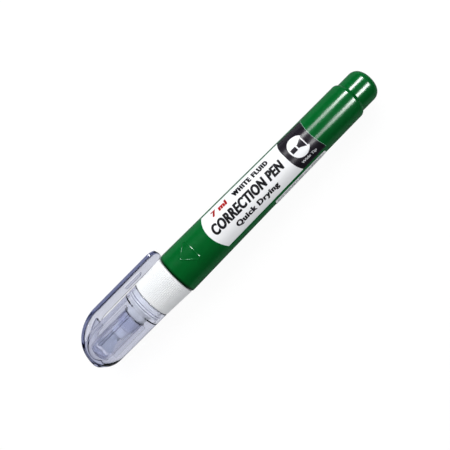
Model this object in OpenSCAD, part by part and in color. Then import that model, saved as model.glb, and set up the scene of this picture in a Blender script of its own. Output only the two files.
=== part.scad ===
// Squeeze-barrel correction pen with a valved wide head and a clear clip cap.
// Frame: the pen lies along X, tail end towards +X, +Z up. The origin is the
// centre of the tail's end face, on the pen's axis. Pieces are drawn in a local
// frame with the axis on Z, where Z is the station along the pen, counted towards
// the tail, and +X is down. lay() turns that frame onto the pen's own.
// Front means towards the cap's nose, rear means towards the tail.

/* [Overall] */
// Station of the cap's front end
nose_at = 0.8; // [0.7:0.05:0.9]
// Station of the tail's end face
tail_at = 130.6; // [130.4:0.1:131]

/* [Barrel] */
// Station of the barrel's front rim
barrel_front = 40.5; // [40.3:0.1:41]
// Radius at the front rim
barrel_r_front = 7.77; // [7.7:0.01:7.85]
// Radius behind the front label, where the taper eases
barrel_r_mid = 6.85; // [6.8:0.01:6.9]
// Radius where the tail shoulder starts
barrel_r_rear = 6.74; // [6.7:0.01:6.78]
// Wall thickness of the squeezable barrel
barrel_wall = 1.0; // [0.95:0.01:1.05]
// Radius of the reduced tail stub
stub_r = 5.93; // [5.85:0.01:6.0]
// Length of the whole tail stub with its rounded end
stub_length = 8.1; // [8:0.1:8.2]
// Radius of the rounding at the tail's end
stub_round = 3.0; // [2.8:0.1:3.2]
// Height of the raised arrow outline
arrow_height = 0.16; // [0.1:0.02:0.3]

/* [Cap] */
// Station of the cap's mouth
cap_mouth = 28.85; // [28.7:0.05:28.9]
// Outer radius at the mouth
cap_r_mouth = 7.1; // [7.05:0.05:7.2]
// Outer radius where the dome starts
cap_r_dome = 6.9; // [6.85:0.01:6.95]
// Length of the dome
cap_dome = 7.2; // [7:0.1:7.4]
// Radius of the bore that slides on the spigot
cap_bore = 6.36; // [6.34:0.01:6.38]
// Angle of the clip below the horizontal when the pen lies on a table
clip_drop = 18.8; // [0:0.1:30]
// Height of the clip's outer face above the pen's axis
clip_r = 11.05; // [10.9:0.05:11.1]
// Width of the clip
clip_width = 9.0; // [8.4:0.1:9.6]
// Thickness of the clip
clip_thick = 1.3; // [1.1:0.05:1.4]
// Station of the clip's free end
clip_end = 40.9; // [39:0.1:42]

/* [Front end] */
// Number of ribs round the collar
rib_count = 72; // [48:4:76]
// Outer radius of the ribbed collar at its front
collar_r = 7.1; // [7.05:0.01:7.15]
// Outer radius of the ribbed collar at its rear
collar_r_rear = 7.54; // [7.5:0.01:7.6]
// Depth of the grooves between the ribs
rib_depth = 0.16; // [0.1:0.02:0.2]
// Radius of the nozzle's sealing land
land_r = 3.15; // [3.1:0.01:3.17]
// Width of the wide head's jaws
head_width = 5.6; // [5.2:0.1:5.6]
// Thickness of the wide head's jaws
head_thick = 2.2; // [2.0:0.1:2.3]

/* [Valve] */
// Mean radius of the valve spring
spring_r = 2.2; // [2.15:0.05:2.25]
// Radius of the spring wire
wire_r = 0.25; // [0.2:0.01:0.27]
// Number of working turns
spring_turns = 7; // [6:1:8]

/* [Agitator and fluid] */
// Radius of the agitator ball
ball_r = 3.0; // [2.5:0.1:3.1]
// Station of the ball at rest
ball_at = 96; // [90:1:104]
// Height of the fluid's surface above the pen's axis
fluid_level = 1.0; // [0:0.1:2]

/* [Hidden] */
$fn = 96;
rubber = [0.12, 0.12, 0.13];

// stations along the barrel
stub_start = tail_at - stub_length;
shoulder = stub_start - 1.8;
taper_start = barrel_front + 0.4;
taper_eases = 103;
// radius lost per mm of station, on each side of taper_eases
taper = (barrel_r_front - barrel_r_mid) / (taper_eases - taper_start);
taper_rear = (barrel_r_mid - barrel_r_rear) / (shoulder - taper_eases);

// outer and inner radius of the barrel at a station
function r_out(station) = station < taper_eases
    ? barrel_r_front - (station - taper_start) * taper
    : barrel_r_mid - (station - taper_eases) * taper_rear;
function r_in(station) = r_out(station) - barrel_wall;

// ---------------------------------------------------------------- helpers
// quarter superellipse from [0, start] to [radius, start + length], as [radius, station];
// points before number `first` are left out
function quarter(start, length, radius, power, steps, first = 0) =
    [for (i = [first : steps]) let (angle = 90 * i / steps)
        [radius * pow(sin(angle), 2 / power), start + length * (1 - pow(cos(angle), 2 / power))]];
// points along a circular arc about [x, y]
function arc(x, y, radius, from, to, steps) =
    [for (i = [0 : steps]) let (angle = from + (to - from) * i / steps)
        [x + radius * cos(angle), y + radius * sin(angle)]];
// closes a half outline with its mirror image in x; points on x = 0 are not repeated
function mirrored(half) =
    concat(half, [for (i = [len(half) - 1 : -1 : 0]) if (half[i][0] != 0) [-half[i][0], half[i][1]]]);

module lay() {
    translate([-tail_at, 0, 0]) rotate([0, 90, 0]) children();
}
// turns local +X about the pen's axis: 0 is up, 90 is towards +Y
module face(angle) {
    rotate([0, 0, 180 - angle]) children();
}
// revolves a profile of [radius, station]
module turned(profile) {
    rotate_extrude() polygon(profile);
}
// round hole or bar on the axis, from a station rearwards
module bore(at, radius, length) {
    translate([0, 0, at]) cylinder(r = radius, h = length);
}
module o_ring(at, mean_r, section_r) {
    translate([0, 0, at]) rotate_extrude() translate([mean_r, 0]) circle(r = section_r);
}
// copies spread evenly about the axis, shifted by a part of a step
module around(count, shift = 0) {
    for (i = [0 : count - 1]) rotate([0, 0, (i + shift) * 360 / count]) children();
}
// plate drawn as [local X, station], centred on the axis across local Y
module plate_xz(thickness) {
    rotate([90, 0, 0]) translate([0, 0, -thickness / 2]) linear_extrude(height = thickness)
        children();
}
// plate drawn as [local Y, station], centred on the axis across local X
module plate_yz(thickness) {
    rotate([90, 0, 90]) translate([0, 0, -thickness / 2]) linear_extrude(height = thickness)
        children();
}
// puts a shape drawn as [station, across] square to a direction measured as in face(),
// with its height pointing outwards
module seen_from(angle) {
    face(angle) rotate([0, 90, 0]) rotate([0, 0, 180]) children();
}

// ---------------------------------------------------------------- barrel
rim_round = 0.5;
shoulder_round = 1.6;
stub_blend = 0.8;                 // concave blend between the shoulder and the stub
mouth_bore = 6.6;                 // straight bore that takes the collar's plug
mouth_bore_end = 52.4;
cavity_shoulder = shoulder - 1;
cavity_round = 1.2;
arrow_angle = 17.9;
arrow_stations = [43, 52];        // stations between which the arrow's height is kept
arrow_tip_at = 46.4;
arrow_base_at = 50.05;
arrow_base_half = 3.17;

function barrel_outline() = concat(
    [[0, barrel_front]],
    arc(barrel_r_front - rim_round, barrel_front + rim_round, rim_round, -90, 0, 5),
    [[barrel_r_mid, taper_eases], [barrel_r_rear, shoulder]],
    arc(barrel_r_rear - shoulder_round, shoulder, shoulder_round, 0, 45, 6),
    arc(stub_r + stub_blend, stub_start, stub_blend, 225, 180, 5),
    [[stub_r, tail_at - stub_round]],
    arc(stub_r - stub_round, tail_at - stub_round, stub_round, 0, 90, 12),
    [[0, tail_at]]);

// inside of the barrel, drawn in by a gap
function barrel_cavity(gap = 0) =
    let (inset = barrel_wall + gap, rear_r = r_in(cavity_shoulder) - gap)
    concat(
        [[0, barrel_front - 1], [mouth_bore - gap, barrel_front - 1],
         [mouth_bore - gap, mouth_bore_end], [barrel_r_mid - inset, taper_eases],
         [rear_r, cavity_shoulder]],
        arc(rear_r - cavity_round, cavity_shoulder, cavity_round, 0, 70, 6),
        [[stub_r - inset, stub_start + 0.4], [stub_r - inset, tail_at - stub_round]],
        arc(stub_r - stub_round, tail_at - stub_round, stub_round - inset, 10, 80, 6),
        [[stub_r - stub_round, tail_at - inset], [0, tail_at - inset]]);

// rounded triangle that points towards the cap, drawn as [station, across]
module arrow_shape(corner) {
    polygon(concat(
        arc(arrow_tip_at, 0, corner, 131, 229, 4),
        arc(arrow_base_at, -arrow_base_half, corner, 229, 360, 4),
        arc(arrow_base_at, arrow_base_half, corner, 0, 131, 4)));
}
module arrow() {
    front = arrow_stations[0];
    rear = arrow_stations[1];
    intersection() {
        seen_from(arrow_angle) translate([0, 0, 5]) linear_extrude(height = 6)
            difference() {
                arrow_shape(0.9);
                arrow_shape(0.52);
            }
        turned([[0, front], [r_out(front) + arrow_height, front],
                [r_out(rear) + arrow_height, rear], [0, rear]]);
    }
}
module barrel() color([0.0, 0.42, 0.17]) lay() {
    difference() {
        union() {
            turned(barrel_outline());
            arrow();
        }
        turned(barrel_cavity());
    }
}

// ---------------------------------------------------------------- labels
label_lift = 0.012;               // glue line under a label
label_thick = 0.11;
front_label_angles = [-49.1, 66.5];
front_label_nose = 66.77;         // centre of the rounded front end
front_label_width = 19;

// thin shell on the barrel's cone, between two stations and two angles as in face()
module label_sleeve(stations, angles) {
    front = stations[0];
    rear = stations[1];
    front_r = r_out(front) + label_lift;
    rear_r = r_out(rear) + label_lift;
    rotate([0, 0, 180 - angles[1]]) rotate_extrude(angle = angles[1] - angles[0])
        polygon([[front_r, front], [front_r + label_thick, front],
                 [rear_r + label_thick, rear], [rear_r, rear]]);
}
module front_label() color("white") lay() {
    middle = (front_label_angles[0] + front_label_angles[1]) / 2;
    difference() {
        intersection() {
            label_sleeve([56.8, 105.2], front_label_angles);
            // straight sides with a rounded front end
            seen_from(middle) linear_extrude(height = 12) union() {
                translate([front_label_nose, 0]) circle(r = 9.6);
                translate([front_label_nose, -front_label_width / 2])
                    square([45, front_label_width]);
            }
        }
        // hollow rear end
        seen_from(middle) linear_extrude(height = 12) translate([115.86, 0]) circle(r = 12.8);
    }
}
module back_label() color([0.85, 0.92, 0.87]) lay() label_sleeve([80.4, 102.9], [-156, -60.5]);

// ---------------------------------------------------------------- cap
// In this section the clip lies over local +X until face() turns the cap.
clip_angle = 90 + clip_drop;
clip_inner = clip_r - clip_thick;
clip_bend = 12.4;                 // length of the bend at the clip's front, outer side
clip_power = 1.82;                // superellipse power of the bend
clip_corner = 3.4;                // corner radius at the free end
clip_crown = 50;                  // radius of the crowned outer face
dome_power = 2.2;
hollow_front = 2.3;
hollow_r = cap_r_dome - 0.9;      // hollow's radius where its own dome ends
sleeve_r = 3.9;
sleeve_floor = 4.24;
sleeve_end = 21.2;
fin_thick = 0.6;
fin_front = 7.5;

function clip_bend_outer() = quarter(nose_at, clip_bend, clip_r, clip_power, 22);

// side outline of the strap, run past the free end that the plan cuts
module clip_side() {
    inner = quarter(nose_at + 1.6, clip_bend - 1, clip_inner, clip_power, 22);
    polygon(concat(clip_bend_outer(), [[clip_r, clip_end + 1], [clip_inner, clip_end + 1]],
                   [for (i = [22 : -1 : 0]) inner[i]]));
}
// outline seen square to the clip's face, as [across, station]
module clip_plan() {
    half = clip_width / 2;
    front_round = 7;              // length of the half-elliptical front end
    polygon(mirrored(concat(
        [for (i = [0 : 12]) let (angle = 90 * i / 12)
            [-half * sin(angle), 0.2 + front_round * (1 - cos(angle))]],
        arc(clip_corner - half, clip_end - clip_corner, clip_corner, 180, 90, 8))));
}
module clip() {
    intersection() {
        plate_xz(clip_width + 1) clip_side();
        rotate([90, 0, 90]) linear_extrude(height = 14) clip_plan();
        // crowned outer face
        translate([clip_r - clip_crown, 0, -2]) cylinder(r = clip_crown, h = 60);
    }
    // web that joins the strap to the dome
    plate_xz(1.6) polygon(concat(
        [[4.6, 3.4]],
        [for (p = clip_bend_outer()) if (p[1] > nose_at + 2.0 && p[1] < nose_at + 9.6)
            [p[0] - 0.5, p[1]]],
        [[6.6, 10.6], [6.3, 10.6]]));
    // grip ridge under the strap
    plate_xz(1.8) polygon([[clip_inner + 0.3, 24.6], [8.85, 24.9], [8.6, 25.3], [8.6, 30.6],
                           [clip_inner + 0.3, 32.0]]);
}
function cap_outer() = concat(
    quarter(nose_at, cap_dome, cap_r_dome, dome_power, 24),
    [[cap_r_mouth, cap_mouth - 0.25], [cap_r_mouth - 0.2, cap_mouth], [0, cap_mouth]]);
function cap_hollow() = concat(
    [[0, hollow_front], [1.0, hollow_front]],
    quarter(hollow_front, 6.4, hollow_r, dome_power, 14, first = 3),
    [[6.12, 24.0], [cap_bore, 24.5], [cap_bore, cap_mouth - 0.35],
     [cap_bore + 0.25, cap_mouth + 0.01], [0, cap_mouth + 0.01]]);

module cap_shell() color([0.72, 0.74, 0.9, 0.4]) lay() face(clip_angle) {
    difference() {
        union() {
            turned(cap_outer());
            clip();
        }
        difference() {
            turned(cap_hollow());
            // socket boss that carries the inner sleeve
            turned([[0, 1.4], [2.4, 1.4], [2.4, 3.0], [2.2, 3.2], [0, 3.2]]);
        }
        // blind socket
        bore(at = 1.95, radius = 1.22, length = 3);
    }
}
module cap_inner_sleeve() color([0.8, 0.83, 0.95, 0.5]) lay() face(clip_angle) {
    difference() {
        union() {
            // peg, cup and flared rear lip
            turned([[0, 2.0], [1.2, 2.0], [1.2, 3.24], [2.9, 3.24], [sleeve_r, 4.2],
                    [sleeve_r, 20.6], [4.15, 20.9], [4.15, sleeve_end], [0, sleeve_end]]);
            // lengthwise fins
            around(4) translate([sleeve_r - 0.2, -fin_thick / 2, fin_front])
                cube([1.6, fin_thick, sleeve_end - fin_front]);
        }
        turned([[0, sleeve_floor], [3.2, sleeve_floor], [3.2, 20.7],
                [3.55, sleeve_end + 0.1], [0, sleeve_end + 0.1]]);
    }
}
module cap_tip_seal() color([0.35, 0.36, 0.4]) lay()
    turned([[0, 4.26], [3.0, 4.26], [3.14, 4.4], [3.14, 5.1], [3.0, 5.24],
            [1.6, 5.24], [1.4, 5.1], [0, 5.1]]);

// ---------------------------------------------------------------- wide head
neck_half = 1.75;                 // half size of the blade where it meets the shaft
blade_rear = 11.9;
pad_slot = [1.84, 5.04, 2.4];
pad_thick = 1.8;
port_width = 0.7;
port_at = 20.9;

module wide_head() color([0.86, 0.87, 0.88]) lay() {
    half_width = head_width / 2;
    half_thick = head_thick / 2;
    difference() {
        union() {
            // fan-shaped blade, wide across Y
            intersection() {
                plate_yz(8) polygon(mirrored([
                    [-half_width + 0.4, 6.3], [-half_width, 6.8], [-half_width, 7.6],
                    [-neck_half, 11.2], [-neck_half, blade_rear]]));
                plate_xz(8) polygon(mirrored([
                    [-half_thick + 0.3, 6.3], [-half_thick, 6.9],
                    [-neck_half, 10.8], [-neck_half, blade_rear]]));
            }
            // shaft with its retaining barb
            turned([[0, 10.4], [1.5, 10.4], [1.9, 10.9], [1.9, 20.2], [2.2, 20.26],
                    [2.2, 20.6], [1.6, 21.0], [1.6, 22.2], [1.4, 22.4], [0, 22.4]]);
        }
        // feed channel, closed at its rear
        bore(at = 7.0, radius = 0.8, length = 14.7);
        // slot that holds the pad
        translate([-pad_slot[0] / 2, -pad_slot[1] / 2, 6.0]) cube(pad_slot);
        // cross ports that let fluid into the channel
        translate([-port_width / 2, -3, port_at]) cube([port_width, 6, port_width]);
        translate([-3, -port_width / 2, port_at]) cube([6, port_width, port_width]);
    }
}
module applicator_pad() color([0.96, 0.95, 0.9]) lay()
    plate_yz(pad_thick)
        polygon(mirrored([[-2.1, 5.3], [-2.35, 5.4], [-2.48, 5.65], [-2.48, 8.38]]));

// ---------------------------------------------------------------- nozzle
nozzle_rear_r = 5.18;
nozzle_groove = [28.6, 29.75];    // stations of the o-ring groove
// [radius, station]: guide tube, sealing land, cone, grooved rear drum
nozzle_profile = [
    [0, 13.2], [2.45, 13.2], [2.75, 13.5], [2.75, 16.1],
    [land_r, 16.6], [land_r, 19.95], [land_r - 0.18, 20.05],
    [land_r - 0.18, 20.45], [land_r, 20.55], [land_r, 21.25],
    [3.45, 21.35], [3.6, 21.6], [4.6, 25.2], [nozzle_rear_r, 25.2],
    [nozzle_rear_r, nozzle_groove[0]], [4.55, nozzle_groove[0]],
    [4.55, nozzle_groove[1]], [nozzle_rear_r, nozzle_groove[1]],
    [nozzle_rear_r, 32.7], [nozzle_rear_r - 0.2, 32.9], [0, 32.9]];

module nozzle() color([0.93, 0.94, 0.95]) lay() {
    difference() {
        turned(nozzle_profile);
        // bore that guides the head
        bore(at = 12, radius = 1.96, length = 9);
        // chamber in front of the valve
        bore(at = 20.2, radius = 2.6, length = 6.8);
        // valve seat's hole
        bore(at = 26, radius = 1.5, length = 4);
        // chamber behind the seat
        bore(at = 28.18, radius = 3.5, length = 6);
    }
}
module nozzle_o_ring() color(rubber) lay() o_ring(at = 29.18, mean_r = 4.88, section_r = 0.29);

// ---------------------------------------------------------------- collar
grip_front = 29.4;
grip_rear = 39.9;
groove_width = 0.22;
groove_tilt = atan((collar_r_rear - collar_r) / 11.5);
spigot_r = 6.22;
bead_r = 6.33;
plug_r = 6.57;

// fine ribs left standing between grooves on a tapered band
module collar_grip() {
    front_r = collar_r + 0.02;
    difference() {
        turned([[0, grip_front], [front_r, grip_front],
                [collar_r_rear - 0.02, grip_rear], [0, grip_rear]]);
        around(rib_count, shift = 0.5)
            translate([front_r - rib_depth, 0, grip_front]) rotate([0, groove_tilt, 0])
                translate([0, -groove_width / 2, -0.5]) cube([1, groove_width, 12]);
    }
}
module collar() color([0.97, 0.97, 0.98]) lay() {
    difference() {
        union() {
            collar_grip();
            // smooth band at each end of the ribs
            turned([[0, 29.0], [6.9, 29.0], [7.04, 29.14], [7.06, 29.5], [0, 29.5]]);
            turned([[0, 39.8], [7.4, 39.8], [7.52, 40.0], [7.52, 40.3], [7.4, 40.42], [0, 40.42]]);
            // front spigot with a friction bead
            turned([[0, 25.22], [6.0, 25.22], [spigot_r, 25.45], [spigot_r, 26.0],
                    [bead_r, 26.15], [bead_r, 26.75], [spigot_r, 26.9], [spigot_r, 27.5],
                    [bead_r, 27.65], [bead_r, 29.2], [0, 29.2]]);
            // rear plug with an o-ring groove
            turned([[0, 40.3], [plug_r, 40.3], [plug_r, 45.9], [5.15, 45.9], [5.15, 47.45],
                    [plug_r, 47.45], [plug_r, 49.0], [6.2, 49.5], [0, 49.5]]);
        }
        // recess for the nozzle, then the bore for the valve cage
        bore(at = 20, radius = 5.2, length = 12.93);
        bore(at = 32, radius = 4.32, length = 20);
    }
}
module collar_o_ring() color(rubber) lay() o_ring(at = 46.68, mean_r = 5.88, section_r = 0.7);

// ---------------------------------------------------------------- valve
spring_front = 29.76;
spring_rear = 41.14;
end_pitch = 2 * wire_r + 0.04;    // pitch of the closed turn at each end
cage_rear_wall = 41.16;
window_width = 1.6;

// front pin, flange, spring spigot and rear rod
module valve_stem() color([0.75, 0.76, 0.78]) lay()
    turned([[0, 22.42], [0.7, 22.42], [0.9, 22.62], [0.9, 28.95], [2.85, 28.95],
            [2.95, 29.05], [2.95, 29.6], [1.6, 29.7], [1.6, 30.4], [1.3, 30.8],
            [1.0, 30.9], [1.0, 41.4], [0.8, 41.8], [0, 41.8]]);
module valve_seal() color(rubber) lay()
    difference() {
        turned([[0, 28.2], [2.5, 28.2], [2.75, 28.45], [2.75, 28.93], [0, 28.93]]);
        bore(at = 27, radius = 0.93, length = 3);
    }
// half turns of wire, tilted one way and then the other, meet in line at their ends
module half_turn(pitch, flip) {
    rise = pitch / 2;
    tilt = atan2(rise, 2 * spring_r);
    tilted_r = norm([rise / 2, spring_r]);
    rotate([0, 0, flip ? 180 : 0]) translate([0, 0, rise / 2]) rotate([0, tilt, 0])
        rotate_extrude(angle = 180) translate([tilted_r, 0]) circle(r = wire_r);
}
module coil(start, pitch, turns) {
    for (i = [0 : 2 * turns - 1])
        translate([0, 0, start + i * pitch / 2]) half_turn(pitch, i % 2 == 1);
}
module valve_spring() color([0.7, 0.71, 0.73]) lay() {
    front = spring_front + wire_r;
    rear = spring_rear - wire_r;
    coil(front, end_pitch, 1);
    coil(front + end_pitch, (rear - front - 2 * end_pitch) / spring_turns, spring_turns);
    coil(rear - end_pitch, end_pitch, 1);
}
module valve_cage() color([0.9, 0.91, 0.92]) lay()
    difference() {
        turned([[0, 32.96], [3.9, 32.96], [4.3, 33.3], [4.3, 42.0], [4.0, 42.4], [0, 42.4]]);
        bore(at = 30, radius = 3.3, length = cage_rear_wall - 30);
        // stem guide and the feed holes round it
        bore(at = 40, radius = 1.1, length = 4);
        around(6) translate([2.85, 0, 0]) bore(at = 40, radius = 0.42, length = 4, $fn = 24);
        // side windows
        around(4) translate([0, -window_width / 2, 35]) cube([6, window_width, 5]);
    }

// ---------------------------------------------------------------- agitator and fluid
lane_front = 49;
// distance below the axis of a ball's centre when it rests on the wall at a station
function ball_drop(station) = r_in(station) - ball_r - 0.03;

module agitator_ball() color([0.72, 0.73, 0.75]) lay()
    translate([ball_drop(ball_at), 0, ball_at]) sphere(r = ball_r);
module correction_fluid() color([0.97, 0.97, 0.95]) lay()
    difference() {
        intersection() {
            turned(barrel_cavity(0.04));
            translate([-fluid_level, -10, 49.6]) cube([20, 20, 100]);
        }
        // lane that the ball runs along, open towards the wall
        translate([ball_drop(lane_front), 0, lane_front]) rotate([0, -atan(taper), 0]) {
            cylinder(r = ball_r + 0.08, h = 72);
            translate([0, -2, 0]) cube([6, 4, 72]);
        }
    }

cap_shell();
cap_inner_sleeve();
cap_tip_seal();
wide_head();
applicator_pad();
nozzle();
nozzle_o_ring();
collar();
collar_o_ring();
valve_stem();
valve_seal();
valve_spring();
valve_cage();
barrel();
agitator_ball();
correction_fluid();
front_label();
back_label();
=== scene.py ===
# A correction pen lying along X, its capped nose towards -X and its tail towards +X.
# Its axis is y = z = 0. The cap's clip stands out towards +Y, a little below the horizontal.
# Stations, radii and arc lengths are in mm. Stations grow from the nose to the tail.
import bpy
import bmesh
import math
from mathutils import Vector, Matrix


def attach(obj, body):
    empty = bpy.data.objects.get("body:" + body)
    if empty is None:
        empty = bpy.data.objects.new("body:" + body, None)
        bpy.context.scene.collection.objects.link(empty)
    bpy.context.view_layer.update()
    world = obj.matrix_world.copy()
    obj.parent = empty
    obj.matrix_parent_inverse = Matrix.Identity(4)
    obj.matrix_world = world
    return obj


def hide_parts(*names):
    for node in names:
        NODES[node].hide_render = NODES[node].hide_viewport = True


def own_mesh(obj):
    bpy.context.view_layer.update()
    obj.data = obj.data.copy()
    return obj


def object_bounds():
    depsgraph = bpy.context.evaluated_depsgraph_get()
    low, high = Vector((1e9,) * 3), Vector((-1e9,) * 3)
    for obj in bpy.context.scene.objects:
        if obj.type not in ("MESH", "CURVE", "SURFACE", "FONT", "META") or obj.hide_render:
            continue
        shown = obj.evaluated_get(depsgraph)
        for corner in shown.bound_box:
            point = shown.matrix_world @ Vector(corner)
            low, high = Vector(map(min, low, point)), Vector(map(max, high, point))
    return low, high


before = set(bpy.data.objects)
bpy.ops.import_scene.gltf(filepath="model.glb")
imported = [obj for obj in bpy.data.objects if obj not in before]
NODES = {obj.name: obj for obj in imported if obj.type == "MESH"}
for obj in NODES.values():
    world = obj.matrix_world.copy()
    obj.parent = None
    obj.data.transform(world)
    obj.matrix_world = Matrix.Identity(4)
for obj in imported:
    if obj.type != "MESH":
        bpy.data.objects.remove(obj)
CAD_LO, CAD_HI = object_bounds()
MM = 0.001
PI = math.pi

TAIL_END = 130.6                        # last station of the pen
X0 = CAD_HI.x - TAIL_END * MM           # x of station 0, in metres
FLOOR_Z = -0.0078                       # metres

# the barrel's outside: two cones that meet at the knee
MOUTH, MOUTH_R = 40.9, 7.77
KNEE, KNEE_R = 103.0, 6.85
SHOULDER, SHOULDER_R = 120.7, 6.74


# ------------------------------------------------------------------ geometry helpers
def station_x(station):
    return X0 + station * MM


def place(station, angle, radius):
    """point in metres; the angle is in radians from up towards +Y"""
    return Vector((station_x(station), radius * MM * math.sin(angle),
                   radius * MM * math.cos(angle)))


def barrel_radius(station):
    if station < KNEE:
        return MOUTH_R - (station - MOUTH) * ((MOUTH_R - KNEE_R) / (KNEE - MOUTH))
    return KNEE_R - (station - KNEE) * ((KNEE_R - SHOULDER_R) / (SHOULDER - KNEE))


def new_object(name, data):
    obj = bpy.data.objects.new(name, data)
    bpy.context.scene.collection.objects.link(obj)
    return obj


def outward(mesh):
    """merges coincident points and turns every face outwards"""
    bm = bmesh.new()
    bm.from_mesh(mesh)
    bmesh.ops.remove_doubles(bm, verts=bm.verts[:], dist=1e-7)
    bmesh.ops.recalc_face_normals(bm, faces=bm.faces[:])
    bm.to_mesh(mesh)
    bm.free()
    mesh.update()
    return mesh


def mesh_from(name, verts, faces):
    mesh = bpy.data.meshes.new(name)
    mesh.from_pydata([tuple(v) for v in verts], [], faces)
    mesh.validate()
    mesh.update()
    return outward(mesh)


def smooth(mesh, sharp_degrees):
    mesh.shade_smooth()
    mesh.set_sharp_from_angle(angle=math.radians(sharp_degrees))
    return mesh


def arc(x, y, radius, start, end, steps):
    """points on a circle about (x, y), between two angles in degrees"""
    turns = [math.radians(start + (end - start) * k / steps) for k in range(steps + 1)]
    return [(x + radius * math.cos(t), y + radius * math.sin(t)) for t in turns]


def superellipse(turn, radius, length, power):
    """(radius, depth) on a blunt nose; turn runs from 0 on the axis to pi/2 on the side"""
    return (radius * math.sin(turn) ** (2 / power),
            length * (1 - math.cos(turn) ** (2 / power)))


def fillet(points, steps=5):
    """points: (radius, station, fillet radius). Rounds the corners that have a fillet."""
    out = []
    for i, (x, y, size) in enumerate(points):
        if size <= 0:
            out.append((x, y))
            continue
        corner = Vector((x, y))
        back = Vector(points[i - 1][:2]) - corner
        ahead = Vector(points[i + 1][:2]) - corner
        back_length, ahead_length = back.length, ahead.length
        back.normalize()
        ahead.normalize()
        half = back.angle(ahead) / 2
        trim = min(size / math.tan(half), 0.48 * back_length, 0.48 * ahead_length)
        radius = trim * math.tan(half)
        centre = corner + (back + ahead).normalized() * (radius / math.sin(half))
        first = corner + back * trim - centre
        last = corner + ahead * trim - centre
        start = math.atan2(first.y, first.x)
        sweep = (math.atan2(last.y, last.x) - start + PI) % (2 * PI) - PI
        for k in range(steps + 1):
            turn = start + sweep * k / steps
            out.append((centre.x + radius * math.cos(turn), centre.y + radius * math.sin(turn)))
    return out


def dense(profile, step):
    """adds points so that no profile edge is longer than step"""
    out = [profile[0]]
    for (x0, y0), (x1, y1) in zip(profile, profile[1:]):
        parts = max(1, int(math.ceil(math.hypot(x1 - x0, y1 - y0) / step)))
        for k in range(1, parts + 1):
            out.append((x0 + (x1 - x0) * k / parts, y0 + (y1 - y0) * k / parts))
    return out


def revolve(name, profile, angles, reshape=None, closed=False):
    """Revolves (radius, station) points about the axis; points on the axis become poles.
    angles is a count or a list; reshape(radius, station, angle) may change the radius."""
    if isinstance(angles, int):
        angles = [2 * PI * k / angles for k in range(angles)]
    count = len(angles)
    verts, rings = [], []
    for radius, station in profile:
        base = len(verts)
        if radius < 1e-6:
            rings.append([base])
            verts.append(place(station, 0, 0))
        else:
            for angle in angles:
                r = reshape(radius, station, angle) if reshape else radius
                verts.append(place(station, angle, r))
            rings.append(list(range(base, base + count)))
    pairs = list(zip(rings, rings[1:]))
    if closed:
        pairs.append((rings[-1], rings[0]))
    faces = []
    for p, q in pairs:
        for k in range(count):
            j = (k + 1) % count
            if len(p) == 1:
                faces.append((p[0], q[k], q[j]))
            elif len(q) == 1:
                faces.append((p[k], q[0], p[j]))
            else:
                faces.append((p[k], q[k], q[j], p[j]))
    return mesh_from(name, verts, faces)


def skin(name, rings):
    """closed skin over a row of equal rings of points"""
    sides = len(rings[0])
    verts = [point for ring in rings for point in ring]
    faces = []
    for base in range(0, len(verts) - sides, sides):
        for k in range(sides):
            a, b = base + k, base + (k + 1) % sides
            faces.append((a, b, b + sides, a + sides))
    faces.append(tuple(range(sides)))
    faces.append(tuple(reversed(range(len(verts) - sides, len(verts)))))
    return mesh_from(name, verts, faces)


def evaluated_mesh(obj):
    depsgraph = bpy.context.evaluated_depsgraph_get()
    return bpy.data.meshes.new_from_object(obj.evaluated_get(depsgraph))


def boolean(base, tools, operation):
    """exact boolean of base with each tool mesh; returns a new mesh"""
    target = new_object("boolean_base", base)
    helpers = []
    for tool in tools:
        helper = new_object("boolean_tool", tool)
        helpers.append(helper)
        modifier = target.modifiers.new("b", "BOOLEAN")
        modifier.operation = operation
        modifier.solver = "EXACT"
        modifier.object = helper
    bpy.context.view_layer.update()
    mesh = evaluated_mesh(target)
    for obj in [target] + helpers:
        bpy.data.objects.remove(obj)
    return mesh


# ------------------------------------------------------------------ node helpers
class Tree:
    """shorthands for building the node tree of a material or world"""

    def __init__(self, owner, output):
        owner.use_nodes = True
        self.tree = owner.node_tree
        self.tree.nodes.clear()
        self.output = self.add(output)

    def feed(self, socket, value):
        if isinstance(value, bpy.types.NodeSocket):
            self.tree.links.new(value, socket)
        elif socket.type == "RGBA":
            socket.default_value = (*value[:3], 1.0)
        else:
            socket.default_value = value

    def add(self, kind, inputs=None, **settings):
        node = self.tree.nodes.new(kind)
        for name, value in settings.items():
            setattr(node, name, value)
        for socket, value in (inputs or {}).items():
            self.feed(node.inputs[socket], value)
        return node

    def finish(self, socket, shader):
        self.feed(self.output.inputs[socket], shader)

    def ramp(self, value, span, to=(0.0, 1.0)):
        """maps the span of values to another span"""
        inputs = {"From Min": span[0], "From Max": span[1], "To Min": to[0], "To Max": to[1],
                  "Value": value}
        return self.add("ShaderNodeMapRange", inputs).outputs["Result"]

    def math(self, operation, *values):
        return self.add("ShaderNodeMath", dict(enumerate(values)), operation=operation).outputs[0]

    def mirror_rays(self, rays):
        """1 for rays reflected off a surface, 0 for those that pass through one"""
        not_through = self.math("SUBTRACT", 1.0, rays["Is Transmission Ray"])
        return self.math("MULTIPLY", rays["Is Glossy Ray"], not_through)


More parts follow.
